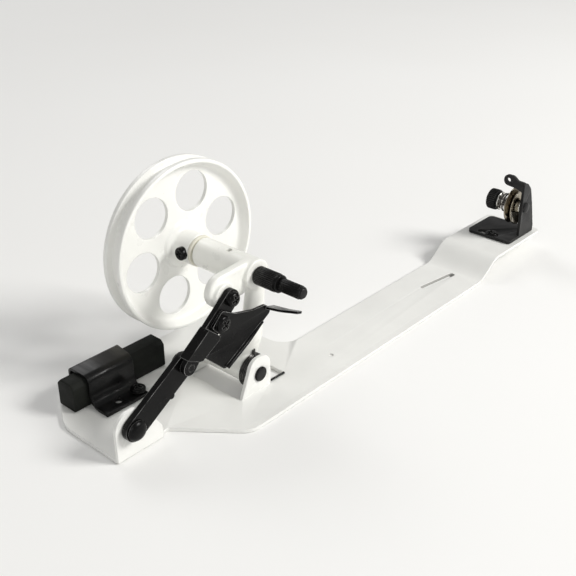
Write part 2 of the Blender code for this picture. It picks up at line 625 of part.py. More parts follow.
# --- tension unit ---------------------------------------------------------------------------------------
def make_tension():
    x0, x1, y0, y1 = FOOT
    low = PAD_TOP + 0.3
    mat = black("bracket_black")
    foot = sheet("tension_bracket", [
        rounded([(x0, y0 + 0.1, 1.5), (x1, y0 + 0.1, 0.4), (x1, y1, 2.5), (x0, y1, 2.5)], 30),
        circle(*BRACKET_HOLE, 2.2, 12)], FOOT_T, mat, (0, 0, low + FOOT_T / 2))
    upright = sheet("bracket_upright", [
        rounded([(184.6, low + 0.3, 0.3), (x1, low + 0.3, 0.3), (x1, 14.0, 6.0),
                 (195.4, 28.0, 6.0), (192.0, 37.5, 4.5), (188.0, 41.5, 1.5), (184.6, 41.5, 1.5)],
                22), circle(*POST, 2.5, 16)],
        FOOT_T, None, (0, y0 + FOOT_T / 2, 0), ALONG_Y, True)
    combine(foot, upright, "UNION")
    ear = sheet("bracket_ear", [
        rounded([(-58.2, 33.0, 0.5), (-57.2, 37.6, 1.5), (-54.0, 38.9, 1.0),
                 (-45.8, 39.2, 2.7), (-45.8, 44.8, 2.7), (-51.6, 44.8, 2.7), (-53.8, 41.4, 1.5),
                 (-58.2, 41.2, 1.0)], 20), circle(-48.6, 42.0, 1.3, 12)], 1.4, None,
        (185.4, 0, 0), (math.pi / 2, 0, math.pi / 2), True)
    combine(foot, ear, "UNION")
    pan_screw("bracket_screw", (*BRACKET_HOLE, low + FOOT_T + 0.3), 3.2, 1.2, 1.9, 4.6, (0, 0, 0))
    px, pz = POST
    lathe("tension_post", [(0, 0.8), (1.9, 0.75), (2.8, 0.3), (2.8, 0.0), (2.3, 0.0), (2.3, -2.1),
                           (4.0, -2.1), (4.0, -4.8), (2.3, -4.8), (2.3, -22.6), (1.9, -23.0),
                           (0, -23.0)], steel("post_steel"), (px, y0 - 0.3, pz), steps=16)
    for name, y, sign in (("tension_disc_near", -53.0, 1), ("tension_disc_far", -52.7, -1)):
        rim = [(DISC_R, 1.8), (DISC_R, 1.3), (8.6, 0.6), (6.0, 0.0), (2.6, 0.0),
               (2.6, 0.6), (5.8, 0.6), (8.3, 1.1), (9.5, 1.8)]
        profile = rim if sign > 0 else [(r, -h) for r, h in rim[::-1]]
        lathe(name, profile, steel(name + "_steel"), (px, y, pz), steps=24)
    coil("tension_spring", 6.0, 4.3, 0.42, 3.0, 2.1, steel("tension_spring_steel"),
         (px, -51.2, pz), per_turn=12)
    lathe("spring_cap", ring(5.4, 2.55, 0.8, 0, 0.2), steel("cap_steel"),
          (px, -43.2, pz), steps=16)
    make_nut(px, pz)


def make_nut(px, pz):
    """Knurled thumb nut with a plain shoulder."""
    bm = bmesh.new()
    teeth = 18
    rows = [(0.0, 4.0, 4.0), (-0.9, 4.3, 4.3), (-1.2, 5.1, 5.1),
            (-1.6, 5.2, 5.6), (-5.4, 5.2, 5.6), (-5.9, 4.9, 5.0)]
    loops = []
    for h, low, high in rows:
        loop = []
        for k in range(teeth * 2):
            r = high if k % 2 else low
            a = math.pi * k / teeth
            loop.append(bm.verts.new((r * math.cos(a) / 1000, r * math.sin(a) / 1000, h / 1000)))
        loops.append(loop)
    inner = []
    for h in (0.0, -5.9):
        inner.append([bm.verts.new((2.45 * math.cos(math.pi * k / teeth) / 1000,
                                    2.45 * math.sin(math.pi * k / teeth) / 1000, h / 1000))
                      for k in range(teeth * 2)])
    chain = [inner[0]] + loops + [inner[1], inner[0]]
    for upper, lower in zip(chain, chain[1:]):
        for k in range(teeth * 2):
            j = (k + 1) % (teeth * 2)
            bm.faces.new((upper[k], lower[k], lower[j], upper[j]))
    bmesh.ops.recalc_face_normals(bm, faces=bm.faces)
    mesh = bpy.data.meshes.new("tension_nut")
    bm.to_mesh(mesh)
    bm.free()
    add_object("tension_nut", mesh, black("nut_black"), (px, -42.9, pz), ALONG_Y)


make_base()
make_brake()
make_arm()
make_pivot()
make_wheel()
make_shaft()
make_links()
make_tension()
bpy.context.view_layer.update()
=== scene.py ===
"""Looks of the bobbin winder: detailed pieces, materials, floor, light and camera.

Millimetres are used for the shapes: x along the base, y along the winding
shaft away from the operator, z up; x = 0 is the wheel axis and y = 0 the
wheel's near rim.  at() turns them into the frame's metres.
"""
import math
import bmesh
import bpy
from mathutils import Matrix, Vector


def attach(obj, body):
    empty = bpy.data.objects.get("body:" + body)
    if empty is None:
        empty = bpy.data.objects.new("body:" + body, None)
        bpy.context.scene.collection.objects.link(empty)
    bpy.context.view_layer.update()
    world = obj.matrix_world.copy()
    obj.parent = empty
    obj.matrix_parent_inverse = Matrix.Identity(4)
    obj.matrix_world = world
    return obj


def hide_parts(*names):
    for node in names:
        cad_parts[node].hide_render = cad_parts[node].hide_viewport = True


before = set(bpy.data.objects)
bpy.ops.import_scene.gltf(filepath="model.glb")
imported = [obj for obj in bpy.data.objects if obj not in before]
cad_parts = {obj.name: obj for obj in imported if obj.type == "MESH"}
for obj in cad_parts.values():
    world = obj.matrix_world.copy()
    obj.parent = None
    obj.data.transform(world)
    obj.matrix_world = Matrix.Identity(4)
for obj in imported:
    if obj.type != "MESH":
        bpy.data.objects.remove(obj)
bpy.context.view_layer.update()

MID_X, MID_Y = 65.0, -22.25
SHEET = 1.6
STRIP_NEAR, STRIP_FAR = -60.8, -28.4
LEFT_END, WIDE_RIGHT, FAR_EDGE, PAD_END = -74.0, 28.5, 20.0, 204.0
JOG_START, JOG_END, JOG_RISE = 142.0, 160.0, 8.7
PAD_TOP = SHEET + JOG_RISE
LUG_FACE, PIVOT_FACE, PIVOT_FAR = -36.5, -43.5, -11.7
AXIS, PIVOT = (0.0, 53.3), (-3.5, 9.4)
LINK_A, KNEE, LINK_B = (-66.5, 13.4), (-40.5, 29.7), (-18.2, 51.0)
STUD = (20.7, 0.9)
TUBE_R, TUBE_FAR, ARM_FACE, LEVER_FACE = 6.5, -8.0, -40.0, -38.2
HUB_NEAR, HUB_FAR = -5.8, 8.4
A_BACK, A_FRONT = -36.9, -39.6
B_BACK, B_FRONT, BLOCK_FRONT = -40.4, -42.8, -44.8
TRIP_BACK, TRIP_FRONT = -43.1, -44.3
POST = (188.5, 27.5)
FOOT = (174.5, 199.3, -58.4, -32.4)
FOOT_T = 1.5
BRACKET_HOLE, CLIP_HOLE, HOLE_R = (177.6, -45.6), (-39.7, -7.4), 2.2
SLOT_LENGTH, SLOT_WIDTH = 24.6, 3.4
SLOT_SPOT = (129.2, -44.1, math.radians(-8))    # middle and turn of the slot
WHEEL_R, HUB_BORE_R = 38.0, 3.15
WHEEL_HOLES, WHEEL_HOLE_R = 6, 8.9
WHEEL_HOLE_PITCH_R, WHEEL_HOLE_PHASE = 23.36, 13.96
DRUM_R, COLLAR_R, NOSE_R = 3.95, 3.72, 2.85
# Heights of turned pieces run from the wheel's near rim towards the operator.
WEB_NEAR, WEB_FAR, RIM_FAR = -4.2, -5.8, -10.48
DRUM_FAR, DRUM_NEAR, COLLAR_NEAR = 40.4, 50.9, 52.6
NOSE_FAR, NOSE_NEAR, TIP_NEAR = 52.55, 63.0, 64.5
# Known fault: the shaft stops here, inside the arm.  The CAD shaft goes on to -10.4.
SHAFT_FAR = 10.4
STOP_LIP_Y = -39.95
SHAFT_BORE_R, BUSH_BORE_R = 3.2, 4.4
CAMERA_SPOT = (-236.262, -268.233, 221.736)
CAMERA_AZIMUTH, CAMERA_ELEVATION, CAMERA_ROLL = -48.086, 27.990, -0.193
CAMERA_LENS = 57.582
FLAT = (0.0, 0.0, 0.0)                    # local z points up
FRONT = (math.pi / 2, 0.0, 0.0)           # local z points to the operator
ACROSS = (math.pi / 2, 0.0, math.pi / 2)  # local z points along the base
SET_TURN = (0.0, math.radians(-88), 0.0)  # local z points left along the set screw
TOOLS = []                                # solids to delete once their piece is made


def at(x, y, z):
    return Vector(((x - MID_X) / 1000, (y - MID_Y) / 1000, z / 1000))


# --- materials ----------------------------------------------------------------
def shader(name, colour, roughness, metallic=0.0):
    mat = bpy.data.materials.new(name)
    mat.use_nodes = True
    bsdf = mat.node_tree.nodes["Principled BSDF"]
    bsdf.inputs["Base Color"].default_value = (*colour, 1.0)
    bsdf.inputs["Roughness"].default_value = roughness
    bsdf.inputs["Metallic"].default_value = metallic
    return mat, bsdf


def noise(mat, scale, detail=4.0, stretch=(1, 1, 1)):
    """Noise in object space, in features per metre."""
    tree = mat.node_tree
    coords = tree.nodes.new("ShaderNodeTexCoord")
    mapping = tree.nodes.new("ShaderNodeMapping")
    mapping.inputs["Scale"].default_value = stretch
    tex = tree.nodes.new("ShaderNodeTexNoise")
    tex.inputs["Scale"].default_value = scale
    tex.inputs["Detail"].default_value = detail
    tree.links.new(coords.outputs["Object"], mapping.inputs["Vector"])
    tree.links.new(mapping.outputs["Vector"], tex.inputs["Vector"])
    return tex.outputs["Fac"]


def ramp(mat, value, stops):
    """Colour ramp: stops are (position, colour)."""
    node = mat.node_tree.nodes.new("ShaderNodeValToRGB")
    mat.node_tree.links.new(value, node.inputs["Fac"])
    while len(node.color_ramp.elements) < len(stops):
        node.color_ramp.elements.new(0.5)
    for element, (position, colour) in zip(node.color_ramp.elements, stops):
        element.position = position
        element.color = (*colour, 1.0)
    return node.outputs["Color"]


def spread(mat, value, low, high, start=0.3, end=0.7):
    node = mat.node_tree.nodes.new("ShaderNodeMapRange")
    node.inputs["From Min"].default_value = start
    node.inputs["From Max"].default_value = end
    node.inputs["To Min"].default_value = low
    node.inputs["To Max"].default_value = high
    mat.node_tree.links.new(value, node.inputs["Value"])
    return node.outputs["Result"]


def times(mat, first, second):
    node = mat.node_tree.nodes.new("ShaderNodeMath")
    node.operation = "MULTIPLY"
    mat.node_tree.links.new(first, node.inputs[0])
    mat.node_tree.links.new(second, node.inputs[1])
    return node.outputs["Value"]


def edge_normal(mat, radius):
    """Normal as if edges were rounded to a radius in millimetres."""
    edge = mat.node_tree.nodes.new("ShaderNodeBevel")
    edge.samples = 6
    edge.inputs["Radius"].default_value = radius / 1000
    return edge.outputs["Normal"]


def soft_edges(mat, bsdf, radius, height=None, depth=0.0, strength=0.3):
    """Rounds the lit edges, and adds a surface bump if height is given."""
    tree = mat.node_tree
    normal = edge_normal(mat, radius)
    if height is not None:
        bump = tree.nodes.new("ShaderNodeBump")
        bump.inputs["Strength"].default_value = strength
        bump.inputs["Distance"].default_value = depth / 1000
        tree.links.new(height, bump.inputs["Height"])
        tree.links.new(normal, bump.inputs["Normal"])
        normal = bump.outputs["Normal"]
    tree.links.new(normal, bsdf.inputs["Normal"])


def enamel(name, tint, gloss):
    """White stove enamel with a faint orange-peel skin."""
    mat, bsdf = shader(name, tint, gloss)
    cloud = noise(mat, 38, 3)
    shade = tuple(c * 0.955 for c in tint)
    mat.node_tree.links.new(ramp(mat, cloud, [(0.35, shade), (0.62, tint)]),
                            bsdf.inputs["Base Color"])
    mat.node_tree.links.new(spread(mat, noise(mat, 160, 4), gloss - 0.05, gloss + 0.13),
                            bsdf.inputs["Roughness"])
    bsdf.inputs["Coat Weight"].default_value = 0.25
    bsdf.inputs["Coat Roughness"].default_value = 0.12
    soft_edges(mat, bsdf, 0.35, noise(mat, 620, 2), 0.05, 0.22)
    return mat


def edge_wear_and_highlight(mat, radius):
    """Mask that is 1 along sharp edges and 0 on the flats; it paints edges paler, partly as wear
    and partly as painted highlight.
    """
    tree = mat.node_tree
    geometry = tree.nodes.new("ShaderNodeNewGeometry")
    dot = tree.nodes.new("ShaderNodeVectorMath")
    dot.operation = "DOT_PRODUCT"
    tree.links.new(edge_normal(mat, radius), dot.inputs[0])
    tree.links.new(geometry.outputs["Normal"], dot.inputs[1])
    mask = spread(mat, dot.outputs["Value"], 1.0, 0.0, 0.90, 0.99)
    return times(mat, mask, spread(mat, noise(mat, 150, 4), 0.15, 1.0, 0.38, 0.60))


def black_finish(name, base, gloss, wear_and_highlight=0.11):
    """Blackened steel: uneven sheen, fine grain and edges paler, partly rubbed wear and partly
    painted highlight.
    """
    mat, bsdf = shader(name, (base, base, base * 1.04), gloss)
    tree = mat.node_tree
    patches = noise(mat, 70, 5)
    dark = (base * 0.75, base * 0.75, base * 0.78)
    pale = (base * 1.8, base * 1.75, base * 1.7)
    mix = tree.nodes.new("ShaderNodeMix")
    mix.data_type = "RGBA"
    tree.links.new(edge_wear_and_highlight(mat, 0.4), mix.inputs["Factor"])
    tree.links.new(ramp(mat, patches, [(0.38, dark), (0.72, pale)]), mix.inputs[6])
    # Pale edge colour: partly rubbed wear, partly painted highlight.
    mix.inputs[7].default_value = (wear_and_highlight, wear_and_highlight, wear_and_highlight * 0.97, 1.0)
    tree.links.new(mix.outputs[2], bsdf.inputs["Base Color"])
    tree.links.new(spread(mat, noise(mat, 230, 6), gloss - 0.07, gloss + 0.12),
                   bsdf.inputs["Roughness"])
    bsdf.inputs["Specular IOR Level"].default_value = 0.11
    bsdf.inputs["Coat Weight"].default_value = 0.03
    bsdf.inputs["Coat Roughness"].default_value = 0.12
    soft_edges(mat, bsdf, 0.22, noise(mat, 1680, 3), 0.03, 0.15)
    return mat


def wear_and_sheen_black(name):
    """Clip finish: black turning brownish grey on upward faces near the top, partly rubbed wear
    and partly painted sheen, with drawn lines.
    """
    mat, bsdf = shader(name, (0.012, 0.012, 0.012), 0.3)
    tree = mat.node_tree
    wear_and_sheen_patches = noise(mat, 34, 6, (1.0, 2.2, 1.0))
    geometry = tree.nodes.new("ShaderNodeNewGeometry")
    split = tree.nodes.new("ShaderNodeSeparateXYZ")
    tree.links.new(geometry.outputs["Normal"], split.inputs["Vector"])
    upward_wear_and_sheen = spread(mat, split.outputs["Z"], 0.0, 1.0, 0.55, 0.98)
    spot = tree.nodes.new("ShaderNodeTexCoord")
    height = tree.nodes.new("ShaderNodeSeparateXYZ")
    tree.links.new(spot.outputs["Object"], height.inputs["Vector"])
    # Upward faces high on the clip turn brownish grey: partly rubbed wear, partly painted sheen.
    top = times(mat, upward_wear_and_sheen, spread(mat, height.outputs["Y"], 0.0, 1.0, 0.009, 0.014))
    tree.links.new(ramp(mat, times(mat, top, spread(mat, wear_and_sheen_patches, 0.0, 1.0, 0.42, 0.64)),
                        [(0.0, (0.004, 0.004, 0.004)), (0.55, (0.016, 0.015, 0.012)),
                         (1.0, (0.060, 0.055, 0.042))]), bsdf.inputs["Base Color"])
    lines = noise(mat, 260, 3, (0.12, 3.0, 3.0))
    tree.links.new(spread(mat, lines, 0.26, 0.46), bsdf.inputs["Roughness"])
    bsdf.inputs["Specular IOR Level"].default_value = 0.16
    bsdf.inputs["Coat Weight"].default_value = 0.15
    bsdf.inputs["Coat Roughness"].default_value = 0.2
    soft_edges(mat, bsdf, 0.3, lines, 0.05, 0.35)
    return mat


def rubber(name):
    mat, bsdf = shader(name, (0.009, 0.010, 0.009), 0.62)
    cells = noise(mat, 900, 5)
    mat.node_tree.links.new(ramp(mat, noise(mat, 60, 4),
                                 [(0.35, (0.004, 0.005, 0.004)), (0.7, (0.012, 0.013, 0.011))]),
                            bsdf.inputs["Base Color"])
    mat.node_tree.links.new(spread(mat, noise(mat, 140, 5), 0.50, 0.74),
                            bsdf.inputs["Roughness"])
    bsdf.inputs["Specular IOR Level"].default_value = 0.12
    soft_edges(mat, bsdf, 0.5, cells, 0.10, 0.4)
    return mat


def plated(name, colour=(0.62, 0.61, 0.58), gloss=0.16, marks=0.2):
    """Bright metal with fine streaks."""
    mat, bsdf = shader(name, colour, gloss, 1.0)
    streaks = noise(mat, 300, 3, (1.0, 9.0, 1.0))
    dull = tuple(c * 0.78 for c in colour)
    mat.node_tree.links.new(ramp(mat, noise(mat, 120, 4), [(0.3, dull), (0.7, colour)]),
                            bsdf.inputs["Base Color"])
    mat.node_tree.links.new(spread(mat, streaks, gloss - 0.05, gloss + 0.14),
                            bsdf.inputs["Roughness"])
    soft_edges(mat, bsdf, 0.15, streaks, 0.02, marks)
    return mat


WHITE_BASE = enamel("enamel_base", (0.83, 0.83, 0.80), 0.33)
WHITE_WHEEL = enamel("enamel_wheel", (0.86, 0.86, 0.825), 0.30)
WHITE_CAST = enamel("enamel_casting", (0.88, 0.88, 0.83), 0.28)
CREAM = enamel("washer_cream", (0.74, 0.72, 0.62), 0.42)
BLACK_LINK = black_finish("black_link", 0.0045, 0.22, wear_and_highlight=0.30)
BLACK_TRIP = black_finish("black_trip", 0.004, 0.20, wear_and_highlight=0.34)
BLACK_SCREW = black_finish("black_screw", 0.0045, 0.18, wear_and_highlight=0.22)
# Nose tip: black with strongly paled edges, partly wear and partly painted highlight.
TIP_WEAR_AND_HIGHLIGHT = black_finish("tip_wear_and_highlight", 0.012, 0.20, wear_and_highlight=0.45)
BLACK_SHAFT = black_finish("black_shaft", 0.0045, 0.22, wear_and_highlight=0.09)
BLACK_BRACKET = black_finish("black_bracket", 0.020, 0.34, wear_and_highlight=0.07)
BLACK_NUT = black_finish("black_nut", 0.007, 0.40)
BLACK_SPRING = black_finish("black_spring", 0.012, 0.26, wear_and_highlight=0.03)
COIL_WIRE = plated("coil_wire", (0.085, 0.083, 0.08), 0.20, marks=0.0)
CLIP = wear_and_sheen_black("clip_wear_and_sheen_black")
BLOCK = rubber("block_rubber")
BRIGHT = plated("bright_steel")
DISC = plated("disc_plate", (0.36, 0.32, 0.25), 0.12, 0.03)
# Grey enamel that paints the shade on the slot's wall.
SLOT_WALL_SHADE = enamel("slot_wall_shade", (0.40, 0.40, 0.38), 0.5)
DARK_WIRE = plated("disc_spring_wire", (0.13, 0.12, 0.11), 0.22)
BRONZE = plated("bush_bronze", (0.12, 0.09, 0.06), 0.40)


# --- makers -------------------------------------------------------------------
def fresh(name, mesh, origin=(0.0, 0.0, 0.0), turn=FLAT):
    obj = bpy.data.objects.new(name, mesh)
    bpy.context.scene.collection.objects.link(obj)
    obj.location = at(*origin)
    obj.rotation_euler = turn
    return obj


def rounded(corners, step=9.0):
    """Outline through (x, y, radius) corners, each rounded by its radius."""
    out = []
    count = len(corners)
    for i, (x, y, radius) in enumerate(corners):
        here = Vector((x, y))
        if radius <= 0:
            out.append((x, y))
            continue
        back = (Vector(corners[i - 1][:2]) - here).normalized()
        ahead = (Vector(corners[(i + 1) % count][:2]) - here).normalized()
        half = back.angle(ahead) / 2
        reach = radius / math.tan(half)
        centre = here + (back + ahead).normalized() * radius / math.sin(half)
        first = here + back * reach - centre
        last = here + ahead * reach - centre
        sweep = first.angle_signed(last)
        pieces = max(2, round(abs(math.degrees(sweep)) / step))
        start = math.atan2(first.y, first.x)
        for k in range(pieces + 1):
            a = start - sweep * k / pieces
            out.append((centre.x + radius * math.cos(a), centre.y + radius * math.sin(a)))
    return out


def circle(cx, cy, radius, count=48):
    return [(cx + radius * math.cos(2 * math.pi * k / count),
             cy + radius * math.sin(2 * math.pi * k / count)) for k in range(count)]


def obround(length, width, cx, cy, angle):
    """Slot outline turned by angle about its middle."""
    half, r, count = (length - width) / 2, width / 2, 12
    loop = [(half + r * math.cos(a), r * math.sin(a))
            for a in (math.pi * (k / count - 0.5) for k in range(count + 1))]
    loop += [(-x, -y) for x, y in loop]
    c, s = math.cos(angle), math.sin(angle)
    return [(cx + x * c - y * s, cy + x * s + y * c) for x, y in loop]


def plate(name, loops, thickness, origin=(0.0, 0.0, 0.0), turn=FLAT, edge=0.0):
    """Flat plate from outlines, with rounded edges if edge is given."""
    curve = bpy.data.curves.new(name, "CURVE")
    curve.dimensions = "2D"
    curve.fill_mode = "BOTH"
    curve.extrude = thickness / 2000 - edge / 1000
    curve.bevel_depth = edge / 1000
    curve.bevel_resolution = 2
    curve.offset = -edge / 1000
    for loop in loops:
        spline = curve.splines.new("POLY")
        spline.points.add(len(loop) - 1)
        for point, (x, y) in zip(spline.points, loop):
            point.co = (x / 1000, y / 1000, 0.0, 1.0)
        spline.use_cyclic_u = True
    temp = bpy.data.objects.new(name + "_curve", curve)
    bpy.context.scene.collection.objects.link(temp)
    return fresh(name, baked(temp), origin, turn)


def baked(temp):
    """Welded mesh of an object with its modifiers; the object goes."""
    bpy.context.view_layer.update()
    graph = bpy.context.evaluated_depsgraph_get()
    mesh = bpy.data.meshes.new_from_object(temp.evaluated_get(graph))
    bpy.data.objects.remove(temp, do_unlink=True)
    bm = bmesh.new()
    bm.from_mesh(mesh)
    bmesh.ops.remove_doubles(bm, verts=bm.verts, dist=2e-6)
    bmesh.ops.recalc_face_normals(bm, faces=bm.faces)
    bm.to_mesh(mesh)
    bm.free()
    return mesh


def lathe(name, profile, origin, turn=FRONT, steps=96):
    """Turned solid: (radius, height) points run down its outer side."""
    mesh = bpy.data.meshes.new(name)
    closed = min(r for r, _ in profile) > 0
    verts = [(r / 1000, 0.0, h / 1000) for r, h in profile]
    edges = [(i, i + 1) for i in range(len(verts) - 1)]
    if closed:
        edges.append((len(verts) - 1, 0))
    mesh.from_pydata(verts, edges, [])
    temp = bpy.data.objects.new(name + "_profile", mesh)
    bpy.context.scene.collection.objects.link(temp)
    screw = temp.modifiers.new("turned", "SCREW")
    screw.axis = "Z"
    screw.steps = steps
    screw.render_steps = steps
    screw.use_merge_vertices = True
    screw.merge_threshold = 0.00001
    return fresh(name, baked(temp), origin, turn)


def ring(outer, inner, top, bottom, edge=0.25):
    return rounded([(outer, top, edge), (outer, bottom, edge), (inner, bottom, 0),
                    (inner, top, 0)], 30)


def hull(name, points):
    """Convex solid round points given in millimetres."""
    bm = bmesh.new()
    zero = at(0, 0, 0)
    for p in points:
        bm.verts.new(at(*p) - zero)
    result = bmesh.ops.convex_hull(bm, input=bm.verts)
    inner = [e for e in result["geom_interior"] if isinstance(e, bmesh.types.BMVert)]
    bmesh.ops.delete(bm, geom=inner, context="VERTS")
    bmesh.ops.dissolve_limit(bm, angle_limit=0.002, verts=bm.verts, edges=bm.edges)
    bmesh.ops.recalc_face_normals(bm, faces=bm.faces)
    mesh = bpy.data.meshes.new(name)
    bm.to_mesh(mesh)
    bm.free()
    return fresh(name, mesh)


def disc_points(cx, cz, radius, y, count=40):
    return [(x, y, z) for x, z in circle(cx, cz, radius, count)]


def combine(target, tool, operation):
    mod = target.modifiers.new(tool.name, "BOOLEAN")
    mod.operation = operation
    mod.solver = "EXACT"
    mod.object = tool
    TOOLS.append(tool)


def round_edges(obj, width, segments=3, angle=35):
    mod = obj.modifiers.new("edges", "BEVEL")
    mod.width = width / 1000
    mod.segments = segments
    mod.limit_method = "ANGLE"
    mod.angle_limit = math.radians(angle)
    mod.miter_outer = "MITER_ARC"


def piece(obj, mat, body, *nodes, slot=None, crease=34):
    """Finishes a shape: modifiers applied, shaded, painted and set on its body."""
    bpy.context.view_layer.update()
    name, matrix = obj.name, obj.matrix_world.copy()
    mesh = baked(obj)
    while TOOLS:
        bpy.data.objects.remove(TOOLS.pop(), do_unlink=True)
    mesh.shade_smooth()
    mesh.set_sharp_from_angle(angle=math.radians(crease))
    mesh.materials.clear()
    mesh.materials.append(mat)
    done = bpy.data.objects.new(name, mesh)
    bpy.context.scene.collection.objects.link(done)
    done.matrix_world = matrix
    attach(done, body)
    if nodes:
        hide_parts(*nodes)
    return done


def frame_of(a, b):
    """Unit vectors along a to b and to its lower right."""
    along = Vector((b[0] - a[0], b[1] - a[1])).normalized()
    return along, Vector((along.y, -along.x))


ALONG, SIDE = frame_of(KNEE, LINK_B)


def on_link(s, a):
    """Point s along the upper link from the knee and a to its lower right."""
    return Vector(KNEE) + ALONG * s + SIDE * a


def cross_loop(arm, wide):
    """Outline of a cross recess."""
    loop = []
    for k in range(4):
        c, s = math.cos(k * math.pi / 2), math.sin(k * math.pi / 2)
        for x, y in ((arm, -wide), (arm, wide), (wide, wide)):
            loop.append((x * c - y * s, x * s + y * c))
    return loop


def cut_cross(screw, arm, wide, depth, height, spin):
    """Cuts a cross recess whose middle is at a height on the screw's own axis."""
    cross = plate(screw.name + "_cross", [cross_loop(arm, wide)], depth)
    cross.parent = screw
    cross.location = (0, 0, height / 1000)
    cross.rotation_euler = (0, 0, spin)
    combine(screw, cross, "DIFFERENCE")


def pan_screw(name, origin, head_r, head_h, turn, body, node, slot, spin=20.0):
    """Pan-head screw with a cross recess and a washer face under the head."""
    profile = [(0, head_h)]
    for k in range(1, 9):
        t = k / 8
        profile.append((head_r * math.sin(t * math.pi / 2) ** 0.9,
                        head_h * (0.42 + 0.58 * math.cos(t * math.pi / 2))))
    profile += [(head_r, 0.12), (head_r - 0.12, 0.0), (0, 0.0)]
    screw = lathe(name, profile, origin, turn, 48)
    cut_cross(screw, head_r * 0.62, head_r * 0.17, head_h * 1.3, head_h * 1.15,
              math.radians(spin))
    return piece(screw, BLACK_SCREW, body, node, slot=slot, crease=40)


# --- base ---------------------------------------------------------------------
def jog_height(x):
    """Height of the sheet above the table along the strip."""
    t = min(1.0, max(0.0, (x - JOG_START) / (JOG_END - JOG_START)))
    return JOG_RISE * t * t * (3 - 2 * t)


def make_base():
    edge = rounded([
        (LEFT_END, LUG_FACE + 0.3, 1.2), (-51.5, LUG_FACE + 0.3, 0), (-48.3, -33.6, 2.0),
        (-26.5, STRIP_NEAR, 9.0), (PAD_END, STRIP_NEAR, 3.0), (PAD_END, STRIP_FAR, 3.0),
        (WIDE_RIGHT, STRIP_FAR, 10.0), (WIDE_RIGHT, FAR_EDGE, 8.0),
        (-60.5, FAR_EDGE, 12.0), (LEFT_END, -2.5, 14.0)])
    window = rounded([(-15.3, -43.3, 1.0), (12.8, -43.3, 1.0), (12.8, -10.5, 1.0),
                      (-15.3, -10.5, 1.0)], 30)
    slot = obround(SLOT_LENGTH, SLOT_WIDTH, *SLOT_SPOT)
    base = plate("base", [edge, window, slot, circle(*BRACKET_HOLE, HOLE_R, 24),
                          circle(*CLIP_HOLE, HOLE_R, 24)], SHEET, (0, 0, SHEET / 2))
    bend_strip(base.data)
    link_lug = rounded([(LEFT_END, 0.4, 0.6), (-51.5, 0.4, 0.6), (-51.5, 6.0, 4.0),
                        (-61.0, 20.6, 7.5), (LEFT_END, 20.6, 7.0)])
    pivot_lug = rounded([(-15.0, 0.4, 0.3), (2.8, 0.4, 0.3), (2.8, 17.4, 5.4),
                         (-8.0, 17.6, 5.0)])
    far_lug = rounded([(-12.0, 0.4, 0.3), (4.9, 0.4, 0.3), (4.9, 17.6, 8.2),
                       (-12.0, 17.6, 8.2)])
    for name, outline, face, hole in (
            ("lug_a", link_lug, LUG_FACE, (*LINK_A, 2.5)),
            ("lug_b", pivot_lug, PIVOT_FACE, (*PIVOT, 3.15)),
            ("lug_c", far_lug, PIVOT_FAR, (*PIVOT, 3.15))):
        combine(base, plate(name, [outline, circle(*hole)], SHEET,
                            (0, face + SHEET / 2, 0), FRONT), "UNION")
    round_edges(base, 0.45, 3)
    dimple = lathe("dimple", [(0, 0.3), (0.9, 0.2), (1.3, -0.4), (0, -0.5)],
                   (37.1, -48.6, SHEET + 0.05), FLAT, 24)
    combine(base, dimple, "DIFFERENCE")
    piece(base, WHITE_BASE, "base", "base_plate")
    make_fillets()
    # A thin grey liner round the slot's wall is painted shade on the sheet's cut edge.
    rim = plate("slot_wall_shade_liner", [obround(SLOT_LENGTH - 0.05, SLOT_WIDTH - 0.05, *SLOT_SPOT),
                              obround(SLOT_LENGTH - 0.4, SLOT_WIDTH - 0.4, *SLOT_SPOT)],
                SHEET - 0.35, (0, 0, SHEET / 2 - 0.1))
    piece(rim, SLOT_WALL_SHADE, "base", slot="base_plate")


def make_fillets():
    """Bend radii where the lugs rise from the sheet."""
    for name, x0, x1, face, r in (("bend_a", LEFT_END + 1.5, -52.5, LUG_FACE, 2.4),
                                  ("bend_b", -11.0, 3.9, PIVOT_FAR, 1.6)):
        y0, z0 = face + SHEET - 0.2, SHEET - 0.2
        section = [(y0, z0), (y0 + r + 0.2, z0)]
        for k in range(9):
            a = math.pi * (1.5 - k / 16)
            section.append((y0 + 0.2 + r + r * math.cos(a), z0 + 0.2 + r + r * math.sin(a)))
        strip = plate(name, [section], x1 - x0, ((x0 + x1) / 2, 0, 0), ACROSS)
        piece(strip, WHITE_BASE, "base", slot="base_plate")


def bend_strip(mesh):
    """Lifts the far end of the strip onto its raised pad."""
    bm = bmesh.new()
    bm.from_mesh(mesh)
    cuts = 28
    for k in range(cuts + 1):
        x = (JOG_START + (JOG_END - JOG_START) * k / cuts) / 1000
        geom = bm.verts[:] + bm.edges[:] + bm.faces[:]
        bmesh.ops.bisect_plane(bm, geom=geom, plane_co=(x, 0, 0),
                               plane_no=(1, 0, 0), dist=1e-6)
    for v in bm.verts:
        v.co.z += jog_height(v.co.x * 1000) / 1000
    bm.to_mesh(mesh)
    bm.free()


